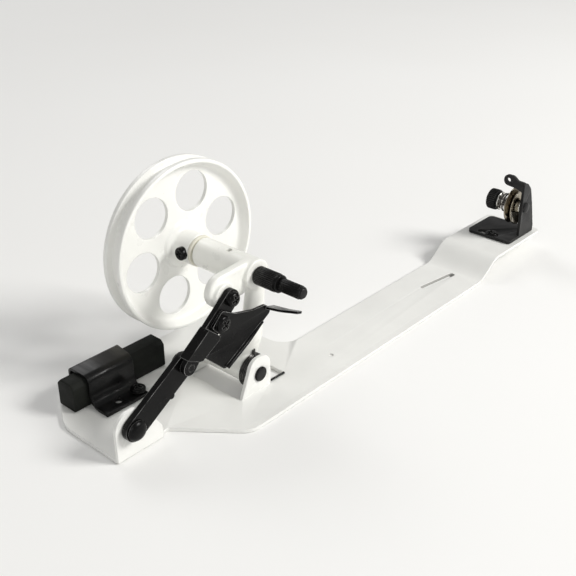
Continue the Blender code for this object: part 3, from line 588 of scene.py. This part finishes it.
# --- brake --------------------------------------------------------------------
def make_brake():
    section = rounded([(0.2, 1.9, 1.0), (10.8, 1.9, 1.0), (10.8, 12.4, 0.8), (8.6, 14.6, 0.8),
                       (2.0, 14.6, 0.8), (0.2, 12.6, 0.8)], 20)
    block = plate("block", [section], 48.4, (-42.0, 0, 0), ACROSS, 0.5)
    piece(block, BLOCK, "base", "brake_block")
    low, top, t = SHEET + 0.3, 14.9, 1.2
    outer = [(-11.8, low, 0.2), (-11.8, low + t, 0.4), (-1.3, low + t, 4.6),
             (-1.3, top + t, 3.6), (12.4, top + t, 2.6), (12.4, top - 5.5, 0.3)]
    inner = [(11.2, top - 5.5, 0.3), (11.2, top, 1.4), (-0.1, top, 2.4), (-0.1, low, 5.8)]
    clip = plate("clip", [rounded(outer + inner, 12)], 30.0, (-44.3, 0, 0), ACROSS)
    corner = [(-37.8, -13.0), (-37.8, -12.2), (-33.6, -8.8), (-33.2, 0), (-34.5, 14),
              (-25, 14), (-25, -13.0)]
    combine(clip, hull("clip_corner", [(x, y, z) for z in (-1, 30) for x, y in corner]),
            "DIFFERENCE")
    for name, spot, r in (("clip_hole", CLIP_HOLE, HOLE_R), ("clip_spare", (-50.0, -7.2), 1.6)):
        combine(clip, lathe(name, [(0, 6), (r, 6), (r, -6), (0, -6)], (*spot, 3), FLAT, 32),
                "DIFFERENCE")
    round_edges(clip, 0.3, 2)
    piece(clip, CLIP, "base", "brake_clip")
    pan_screw("clip_screw", (*CLIP_HOLE, low + t + 0.3), 3.3, 2.0, FLAT, "base",
              "brake_screw", "brake_screw")


# --- arm ----------------------------------------------------------------------
def oval(cx, cy, z, a, b):
    count = 40
    return [(cx + a * math.cos(2 * math.pi * k / count),
             cy + b * math.sin(2 * math.pi * k / count), z) for k in range(count)]


def make_arm():
    ax, az = AXIS
    bx, bz = LINK_B[0] + 0.3, LINK_B[1] + 0.9
    arm = hull("arm", disc_points(ax, az, TUBE_R, TUBE_FAR, 72)
               + disc_points(ax, az, TUBE_R, ARM_FACE, 72))
    tools = [
        hull("t1", disc_points(ax, az, TUBE_R - 0.9, LEVER_FACE)
             + disc_points(ax, az, TUBE_R - 0.1, LEVER_FACE + 0.8)
             + disc_points(ax, az, TUBE_R - 0.1, -33.9) + disc_points(bx, bz, 6.2, LEVER_FACE)
             + disc_points(bx, bz, 7.0, LEVER_FACE + 0.8) + disc_points(bx, bz, 7.0, -34.4)),
        hull("t2", disc_points(*LINK_B, 5.0, ARM_FACE)
             + disc_points(*LINK_B, 5.4, LEVER_FACE + 1)),
        hull("t3", oval(2.4, -36.55, 50.0, 4.4, 3.4) + oval(1.0, -35.4, 22.0, 4.5, 3.2)
             + oval(-1.4, -33.6, 12.0, 5.2, 3.2)),
        hull("t4", oval(-2.2, -25.5, 10.0, 4.6, 9.5) + oval(-0.9, -31.0, 22.0, 2.6, 3.5)),
        hull("t5", disc_points(*PIVOT, 6.2, PIVOT_FAR - 0.4)
             + disc_points(*PIVOT, 6.2, -37.3)),
        hull("t6", disc_points(*PIVOT, 5.0, -30.0)
             + disc_points(*PIVOT, 5.0, PIVOT_FACE + SHEET + 0.3))]
    for tool in tools:
        combine(arm, tool, "UNION")
    remesh = arm.modifiers.new("cast", "REMESH")
    remesh.mode = "VOXEL"
    remesh.voxel_size = 0.00042
    soften = arm.modifiers.new("soft", "SMOOTH")
    soften.factor = 0.5
    soften.iterations = 9
    for name, radius, start, end in (("bore", SHAFT_BORE_R, -30.0, -45.0),
                                     ("far_bore", BUSH_BORE_R, -5.0, -17.2)):
        combine(arm, hull(name, disc_points(ax, az, radius, start, 48)
                          + disc_points(ax, az, radius, end, 48)), "DIFFERENCE")
    combine(arm, lathe("oil_hole", [(0, 8), (1.25, 8), (1.25, -3), (0, -3)],
                       (-0.5, -24.6, az + 4.0), FLAT, 24), "DIFFERENCE")
    piece(arm, WHITE_CAST, "arm", "swing_arm", crease=38)
    # A dark disc in the bush's bronze colour down the oil hole is painted shade inside the hole.
    oil_hole_shade = lathe("oil_hole_painted_shade", [(0, 0), (1.6, 0), (1.6, -0.4), (0, -0.4)],
                 (-0.5, -24.6, az + 5.3), FLAT, 24)
    piece(oil_hole_shade, BRONZE, "arm", slot="shaft_bush_far")


def wire(name, path, radius, origin):
    """Round wire along a path given in millimetres from its origin."""
    curve = bpy.data.curves.new(name, "CURVE")
    curve.dimensions = "3D"
    curve.bevel_depth = radius / 1000
    curve.bevel_resolution = 4
    curve.use_fill_caps = True
    spline = curve.splines.new("POLY")
    spline.points.add(len(path) - 1)
    for point, p in zip(spline.points, path):
        point.co = (*(Vector(p) / 1000), 1.0)
    temp = bpy.data.objects.new(name + "_curve", curve)
    bpy.context.scene.collection.objects.link(temp)
    return fresh(name, baked(temp), origin)


def coil(name, r0, r1, radius, turns, pitch, origin, start=0.0, tails=(0, 0), per_turn=40):
    """Coil spring round the y axis, growing away from the operator."""
    count = int(per_turn * turns)
    path = []
    for k in range(count + 1):
        a = 2 * math.pi * turns * k / count + start
        r = r0 + (r1 - r0) * k / count
        path.append(Vector((r * math.cos(a), pitch * turns * k / count, r * math.sin(a))))
    if tails[1]:
        path.append(path[-1] * (1 + tails[1] / r1) + Vector((0, -path[-1].y * tails[1] / r1, 0)))
    if tails[0]:
        path.insert(0, path[0] * (1 + tails[0] / r0))
    return wire(name, path, radius, origin)


def make_pivot():
    pin = lathe("pivot_pin", rounded([(0, 0.9, 0), (3.3, 0.9, 0.6), (3.3, 0.25, 0),
                                      (3.0, 0.25, 0), (3.0, -37.0, 0.4), (0, -37.0, 0)], 15),
                (PIVOT[0], PIVOT_FACE, PIVOT[1]))
    piece(pin, BLACK_SCREW, "base", "arm_pivot_pin")
    spring = coil("pivot_spring", 7.1, 7.1, 0.42, 3.95, 0.90,
                  (PIVOT[0], -41.4, PIVOT[1]), start=1.66, tails=(4.6, 1.6))
    piece(spring, COIL_WIRE, "base", "torsion_spring")
    route = [(PIVOT[0] - 1.0, -41.05, 2.5), (PIVOT[0] + 2.0, -41.1, 2.2), (2.6, -41.2, 2.0),
             (4.4, -42.4, 1.9), (12.3, -42.6, 1.9)]
    leg = wire("spring_leg", [Vector(p) - Vector(route[0]) for p in route], 0.5, route[0])
    piece(leg, BLACK_SPRING, "base", slot="torsion_spring")


# --- wheel and shaft ----------------------------------------------------------
def make_wheel():
    profile = rounded([
        (7.0, -HUB_NEAR, 0.5), (7.0, -3.1, 1.4), (10.0, -3.2, 0.5), (10.7, WEB_NEAR, 0.7),
        (34.4, WEB_NEAR, 2.4), (36.4, 0.0, 0.5), (WHEEL_R, 0.0, 0.6), (WHEEL_R, -2.3, 0.3),
        (35.3, -3.0, 0.4), (35.3, -7.5, 0.4), (WHEEL_R, -8.2, 0.3), (WHEEL_R, RIM_FAR, 0.6),
        (36.2, RIM_FAR, 0.5), (34.4, WEB_FAR, 1.2), (8.5, WEB_FAR, 1.0), (8.5, -HUB_FAR, 0.4),
        (HUB_BORE_R, -HUB_FAR, 0), (HUB_BORE_R, -HUB_NEAR, 0)], 22)
    wheel = lathe("wheel", profile, (AXIS[0], 0, AXIS[1]), steps=144)
    bm = bmesh.new()
    for k in range(WHEEL_HOLES):
        a = math.radians(WHEEL_HOLE_PHASE + 360 / WHEEL_HOLES * k)
        spot = Matrix.Translation((WHEEL_HOLE_PITCH_R * math.cos(a) / 1000,
                                   WHEEL_HOLE_PITCH_R * math.sin(a) / 1000, WEB_NEAR / 1000))
        bmesh.ops.create_cone(bm, cap_ends=True, segments=72, radius1=WHEEL_HOLE_R / 1000,
                              radius2=WHEEL_HOLE_R / 1000, depth=0.008, matrix=spot)
    mesh = bpy.data.meshes.new("wheel_holes")
    bm.to_mesh(mesh)
    bm.free()
    combine(wheel, fresh("wheel_holes", mesh, (AXIS[0], 0, AXIS[1]), FRONT), "DIFFERENCE")
    piece(wheel, WHITE_WHEEL, "wheel", "drive_wheel", crease=38)
    screw = lathe("set_screw", rounded([(0, 8.9, 0), (2.85, 8.9, 0.7), (2.85, 6.2, 0),
                                        (2.0, 6.2, 0), (2.0, 3.4, 0), (0, 3.4, 0)], 20),
                  (AXIS[0], -2.9, AXIS[1]), SET_TURN, 40)
    cut_cross(screw, 1.8, 0.5, 2.6, 8.9, 0.35)
    piece(screw, BLACK_SCREW, "wheel", "hub_set_screw")


def ribbed(name, radius, depth, ribs, top, bottom, edge):
    """Straight-knurled drum about local z from height top down to bottom."""
    bm = bmesh.new()
    per = 6
    count = ribs * per
    levels = [(top, radius - edge), (top - edge * 0.5, radius - edge * 0.25),
              (top - edge, radius), (bottom + edge, radius),
              (bottom + edge * 0.5, radius - edge * 0.25), (bottom, radius - edge)]
    loops = []
    for h, r in levels:
        loop = []
        for k in range(count):
            dip = depth * (0.5 + 0.5 * math.cos(2 * math.pi * k / per)) ** 2
            if r < radius - edge * 0.6:
                dip *= 0.3
            a = 2 * math.pi * k / count
            loop.append(bm.verts.new(((r - dip) * math.cos(a) / 1000,
                                      (r - dip) * math.sin(a) / 1000, h / 1000)))
        loops.append(loop)
    for upper, lower in zip(loops, loops[1:]):
        for k in range(count):
            j = (k + 1) % count
            bm.faces.new((upper[k], lower[k], lower[j], upper[j]))
    bm.faces.new(loops[0][::-1])
    bm.faces.new(loops[-1])
    bmesh.ops.recalc_face_normals(bm, faces=bm.faces)
    mesh = bpy.data.meshes.new(name)
    bm.to_mesh(mesh)
    bm.free()
    return mesh


def make_shaft():
    spot = (AXIS[0], 0, AXIS[1])
    shaft = lathe("shaft", [(0, 52.5), (2.8, 52.5), (3.0, 52.3), (3.0, 10.8),
                            (2.6, SHAFT_FAR), (0, SHAFT_FAR)], spot)
    piece(shaft, BLACK_SHAFT, "wheel", "winding_shaft")
    drum = fresh("drive_drum", ribbed("drive_drum", DRUM_R, 0.22, 30, DRUM_NEAR, DRUM_FAR, 0.3),
                 spot, FRONT)
    piece(drum, BLACK_SHAFT, "wheel", slot="winding_shaft", crease=60)
    collar = lathe("drum_collar", rounded([(0, COLLAR_NEAR, 0), (COLLAR_R, COLLAR_NEAR, 0.4),
                                           (COLLAR_R, 50.8, 0.2), (0, 50.8, 0)], 20), spot)
    piece(collar, BLACK_SHAFT, "wheel", slot="winding_shaft")
    nose = fresh("bobbin_nose", ribbed("bobbin_nose", NOSE_R, 0.2, 20, NOSE_NEAR, NOSE_FAR, 0.3),
                 spot, FRONT)
    piece(nose, BLACK_SHAFT, "wheel", slot="winding_shaft", crease=60)
    tip = lathe("nose_tip", rounded([(0, TIP_NEAR, 0), (1.95, TIP_NEAR, 0.3), (2.58, 63.75, 0.3),
                                     (2.62, 62.7, 0), (0, 62.7, 0)], 15), spot)
    piece(tip, TIP_WEAR_AND_HIGHLIGHT, "wheel", slot="winding_shaft")
    washer = lathe("hub_washer", ring(6.9, HUB_BORE_R, 1.4, 0, 0.3),
                   (AXIS[0], HUB_NEAR - 0.3, AXIS[1]))
    piece(washer, CREAM, "wheel", "thrust_washer")


# --- links --------------------------------------------------------------------
def make_long_link():
    along, side = frame_of(LINK_A, KNEE)
    outline = []
    for centre, sign in ((Vector(KNEE), 1), (Vector(LINK_A), -1)):
        for k in range(25):
            t = math.pi * (k / 24 - 0.5) * sign
            p = centre + along * 4.9 * math.cos(t) * sign - side * 4.9 * math.sin(t)
            outline.append((p.x, p.y))
    link = plate("lower_link", [outline], A_BACK - A_FRONT, (0, (A_BACK + A_FRONT) / 2, 0), FRONT)
    spot = Vector(LINK_A) + along * 18.6 + side * 4.6
    combine(link, hull("nub", disc_points(spot.x, spot.y, 1.3, A_BACK, 24)
                       + disc_points(spot.x, spot.y, 1.3, A_FRONT, 24)), "UNION")
    round_edges(link, 0.3, 3)
    piece(link, BLACK_LINK, "lower_latch", "long_link")
    rivet = lathe("lug_rivet_head", [(0, 2.1), (1.4, 2.05), (2.6, 1.8), (3.5, 1.35), (4.1, 0.75),
                                     (4.3, 0.3), (4.2, 0.0), (2.35, 0), (2.35, -5.2), (0, -5.2)],
                  (LINK_A[0], A_FRONT - 0.3, LINK_A[1]))
    piece(rivet, BLACK_LINK, "base", "lug_rivet")


def make_upper_link():
    shape = [(-3.4, -3.5, 3.3), (-3.4, 3.2, 3.2), (3.6, 2.4, 1.5), (14.9, 4.0, 0),
             (35.1, 4.9, 3.9), (34.6, -2.8, 3.6), (16.0, -4.2, 0), (3.0, -3.9, 0)]
    corners = [(*on_link(s, a), r) for s, a, r in shape]
    link = plate("upper_strap", [rounded(corners)], B_BACK - B_FRONT,
                 (0, (B_BACK + B_FRONT) / 2, 0), FRONT)
    block = []
    for s, a in ((1.5, -6.0), (2.4, -3.2), (3.6, 0.2), (4.6, 1.6), (14.9, 4.2), (16.3, 3.4),
                 (15.6, -4.2)):
        p = on_link(s, a)
        block += [(p.x, B_BACK - 0.6, p.y), (p.x, BLOCK_FRONT, p.y)]
    combine(link, hull("link_block", block), "UNION")
    lip = []
    for s, a in ((1.5, -6.0), (1.8, -5.0), (15.3, -3.3), (15.6, -4.2)):
        p = on_link(s, a)
        lip += [(p.x, B_BACK - 1.0, p.y), (p.x, STOP_LIP_Y, p.y)]
    combine(link, hull("stop_lip", lip), "UNION")
    round_edges(link, 0.3, 3)
    piece(link, BLACK_LINK, "upper_latch", "upper_link")
    pan_screw("arm_screw", (LINK_B[0], B_FRONT - 0.3, LINK_B[1]), 3.1, 2.8, FRONT, "arm",
              "arm_link_screw", "arm_link_screw", 12)


def make_trip():
    shape = [(16.7, -2.4, 1.0), (16.7, 4.6, 0), (5.9, 2.7, 1.0), (6.4, 17.0, 2.2),
             (16.0, 19.2, 0), (27.0, 22.2, 0), (37.6, 24.6, 2.0), (37.0, 19.2, 2.2),
             (32.4, 14.2, 5.0), (27.0, 5.4, 4.0), (24.6, -2.4, 1.5)]
    trip = plate("trip", [rounded([(*on_link(s, a), r) for s, a, r in shape])],
                 TRIP_BACK - TRIP_FRONT, (0, (TRIP_BACK + TRIP_FRONT) / 2, 0), FRONT)
    lip = []
    for s, a, deep in ((7.4, 15.9, 1.2), (20.0, 19.2, 1.2), (31.0, 22.0, 0.3)):
        for da, y in ((0, TRIP_BACK - 0.2), (1.2, TRIP_BACK - 0.2), (0.4, TRIP_FRONT - deep),
                      (1.6, TRIP_FRONT - deep)):
            p = on_link(s, a + da)
            lip.append((p.x, y, p.y))
    combine(trip, hull("trip_lip", lip), "UNION")
    combine(trip, hull("finger", finger(2.6, 38.7, TRIP_BACK - 0.2, 3.0)
                       + finger(2.5, 40.3, -52.0, 2.4)), "UNION")
    combine(trip, hull("finger_tip", finger(2.5, 40.26, -51.8, 2.4)
                       + finger(2.6, 42.3, -60.0, 1.3)), "UNION")
    round_edges(trip, 0.22, 3, 28)
    piece(trip, BLACK_TRIP, "upper_latch", "trip_plate")
    stud = on_link(*STUD)
    pan_screw("trip_screw_head", (stud.x, TRIP_FRONT - 0.3, stud.y), 3.4, 2.1, FRONT,
              "upper_latch", "trip_screw", "trip_screw", 30)


def finger(cx, cz, y, half):
    """Section of the trip finger: a strip leaning towards the bobbin."""
    half_thick = 0.55
    lean, flat = Vector((0.954, -0.30)), Vector((0.30, 0.954))
    out = []
    for i in (-1, 1):
        for j in (-1, 1):
            p = Vector((cx, cz)) + lean * half * i + flat * half_thick * j
            out.append((p.x, y, p.y))
    return out


# --- tension unit -------------------------------------------------------------
def make_bracket():
    x0, x1, y0, y1 = FOOT
    low = PAD_TOP + 0.3
    foot = plate("bracket", [rounded([(x0, y0 + 0.1, 1.5), (x1, y0 + 0.1, 0.4), (x1, y1, 2.5),
                                      (x0, y1, 2.5)]),
                             obround(12.0, 4.4, BRACKET_HOLE[0], BRACKET_HOLE[1] + 2.0,
                                     math.pi / 2)], FOOT_T, (0, 0, low + FOOT_T / 2))
    upright = rounded([(184.6, low + 0.3, 0.3), (x1, low + 0.3, 0.3), (x1, 14.0, 6.0),
                       (195.4, 28.0, 6.0), (192.0, 37.5, 4.5), (188.0, 41.5, 1.5),
                       (184.6, 41.5, 1.5)])
    combine(foot, plate("upright", [upright, circle(*POST, 2.5)], FOOT_T,
                        (0, y0 + FOOT_T / 2, 0), FRONT), "UNION")
    ear = rounded([(-58.2, 33.0, 0.5), (-57.0, 36.9, 1.5), (-53.2, 38.3, 1.0),
                   (-45.8, 39.2, 2.7), (-45.8, 44.8, 2.7), (-51.4, 44.8, 2.7),
                   (-54.2, 42.6, 2.5), (-58.2, 42.4, 1.0)])
    combine(foot, plate("ear", [ear, circle(-48.6, 42.0, 1.15)], 1.4, (185.4, 0, 0),
                        ACROSS), "UNION")
    round_edges(foot, 0.3, 3)
    piece(foot, BLACK_BRACKET, "base", "tension_bracket")
    pan_screw("foot_screw", (*BRACKET_HOLE, low + FOOT_T - 0.2), 3.2, 1.5, FLAT, "base",
              "bracket_screw", "bracket_screw", 40)


def make_tension():
    px, pz = POST
    y0 = FOOT[2]
    head = lathe("post_head", [(0, 0.8), (1.6, 0.75), (2.4, 0.5), (2.8, 0.2), (2.8, 0),
                               (2.0, -0.3), (0, -0.3)], (px, y0 - 0.3, pz))
    piece(head, BLACK_BRACKET, "base", slot="tension_post")
    post = lathe("post", rounded([(0, -0.3, 0), (2.3, -0.3, 0), (2.3, -2.1, 0), (4.0, -2.1, 0.4),
                                  (4.0, -4.8, 0.4), (2.3, -4.8, 0), (2.3, -23.0, 0.4),
                                  (0, -23.0, 0)], 20), (px, y0 - 0.3, pz))
    piece(post, BRIGHT, "base", "tension_post")
    for name, y, sign, body in (("tension_disc_near", -53.0, 1, "base"),
                                ("tension_disc_far", -52.7, -1, "far_disc")):
        rim = [(2.6, 0.0), (6.0, 0.0), (7.4, 0.22), (8.6, 0.7), (9.4, 1.25), (9.8, 1.45),
               (10.0, 1.6), (9.95, 1.8), (9.75, 1.9), (9.5, 1.85), (9.1, 1.65), (8.3, 1.15),
               (7.1, 0.72), (5.8, 0.55), (2.6, 0.55)]
        profile = [(r, h * sign) for r, h in rim]
        disc = lathe(name + "_dish", profile, (px, y, pz))
        piece(disc, DISC, body, name)
    spring = coil("disc_spring", 6.0, 4.3, 0.42, 3.6, 1.72, (px, -51.2, pz), per_turn=32)
    piece(spring, DARK_WIRE, "base", "tension_spring")
    cap = lathe("spring_seat", ring(5.0, 2.55, 0.8, 0, 0.25), (px, -43.2, pz))
    piece(cap, BRIGHT, "base", "spring_cap")
    nut = fresh("thumb_nut", ribbed("thumb_nut", 5.6, 0.38, 30, -0.9, -5.9, 0.5),
                (px, -42.9, pz), FRONT)
    piece(nut, BLACK_NUT, "nut", "tension_nut", crease=60)
    neck = lathe("nut_neck", rounded([(0, 0, 0), (4.2, 0, 0.4), (4.2, -1.0, 0), (0, -1.0, 0)], 20),
                 (px, -42.9, pz))
    piece(neck, BLACK_NUT, "nut", slot="tension_nut")


def paint_kept_nodes():
    """CAD nodes that stay as they are get the finished materials."""
    for node, mat in (("pivot_retainer", BLACK_SPRING), ("shaft_retainer", BLACK_SPRING),
                      ("knee_washer", BLACK_LINK), ("knee_rivet", BLACK_LINK),
                      ("shaft_bush_near", BRONZE), ("shaft_bush_far", BRONZE)):
        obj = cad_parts[node]
        obj.material_slots[0].material = mat


# --- floor, light and camera --------------------------------------------------
def make_studio():
    mesh = bpy.data.meshes.new("floor")
    mesh.from_pydata([(-4, -4, 0), (4, -4, 0), (4, 4, 0), (-4, 4, 0)], [], [(0, 1, 2, 3)])
    floor = bpy.data.objects.new("floor", mesh)
    bpy.context.scene.collection.objects.link(floor)
    floor.location.z = -0.0002
    mat, bsdf = shader("floor_pale", (0.90, 0.90, 0.885), 0.9)
    mat.node_tree.links.new(ramp(mat, noise(mat, 3.0, 2), [(0.3, (0.885, 0.883, 0.868)),
                                                           (0.7, (0.905, 0.904, 0.892))]),
                            bsdf.inputs["Base Color"])
    mesh.materials.append(mat)
    world = bpy.data.worlds.new("studio")
    bpy.context.scene.world = world
    world.use_nodes = True
    sky = world.node_tree.nodes["Background"]
    sky.inputs["Color"].default_value = (1.0, 0.995, 0.985, 1.0)
    sky.inputs["Strength"].default_value = 0.36
    for name, spot, size, power, colour in (
            ("key", (0.75, -1.25, 1.1), 0.6, 28.0, (1.0, 0.99, 0.97)),
            ("fill", (-1.3, -0.9, 0.8), 0.8, 5.0, (1.0, 1.0, 1.0)),
            ("rim", (0.4, 1.7, 1.4), 0.9, 8.0, (1.0, 1.0, 1.0))):
        data = bpy.data.lights.new(name, "AREA")
        data.energy = power
        data.size = size
        data.color = colour
        lamp = bpy.data.objects.new(name, data)
        bpy.context.scene.collection.objects.link(lamp)
        lamp.location = spot
        aim = Vector((0, 0, 0.02)) - Vector(spot)
        lamp.rotation_euler = aim.to_track_quat("-Z", "Y").to_euler()
    bpy.context.scene.view_settings.view_transform = "Standard"


def make_camera():
    azimuth, elevation, roll = (math.radians(a) for a in (CAMERA_AZIMUTH, CAMERA_ELEVATION,
                                                          CAMERA_ROLL))
    back = Vector((math.sin(azimuth) * math.cos(elevation),
                   -math.cos(azimuth) * math.cos(elevation), math.sin(elevation)))
    right = (-back).cross(Vector((0, 0, 1))).normalized()
    up = right.cross(-back)
    right, up = (right * math.cos(roll) + up * math.sin(roll),
                 up * math.cos(roll) - right * math.sin(roll))
    data = bpy.data.cameras.new("camera")
    data.lens = CAMERA_LENS
    data.sensor_width = 36.0
    data.clip_start = 0.01
    camera = bpy.data.objects.new("camera", data)
    bpy.context.scene.collection.objects.link(camera)
    matrix = Matrix((right, up, back)).transposed().to_4x4()
    matrix.translation = at(*CAMERA_SPOT)
    camera.matrix_world = matrix
    bpy.context.scene.camera = camera


make_base()
make_brake()
make_arm()
make_pivot()
make_wheel()
make_shaft()
make_long_link()
make_upper_link()
make_trip()
make_bracket()
make_tension()
paint_kept_nodes()
make_studio()
make_camera()
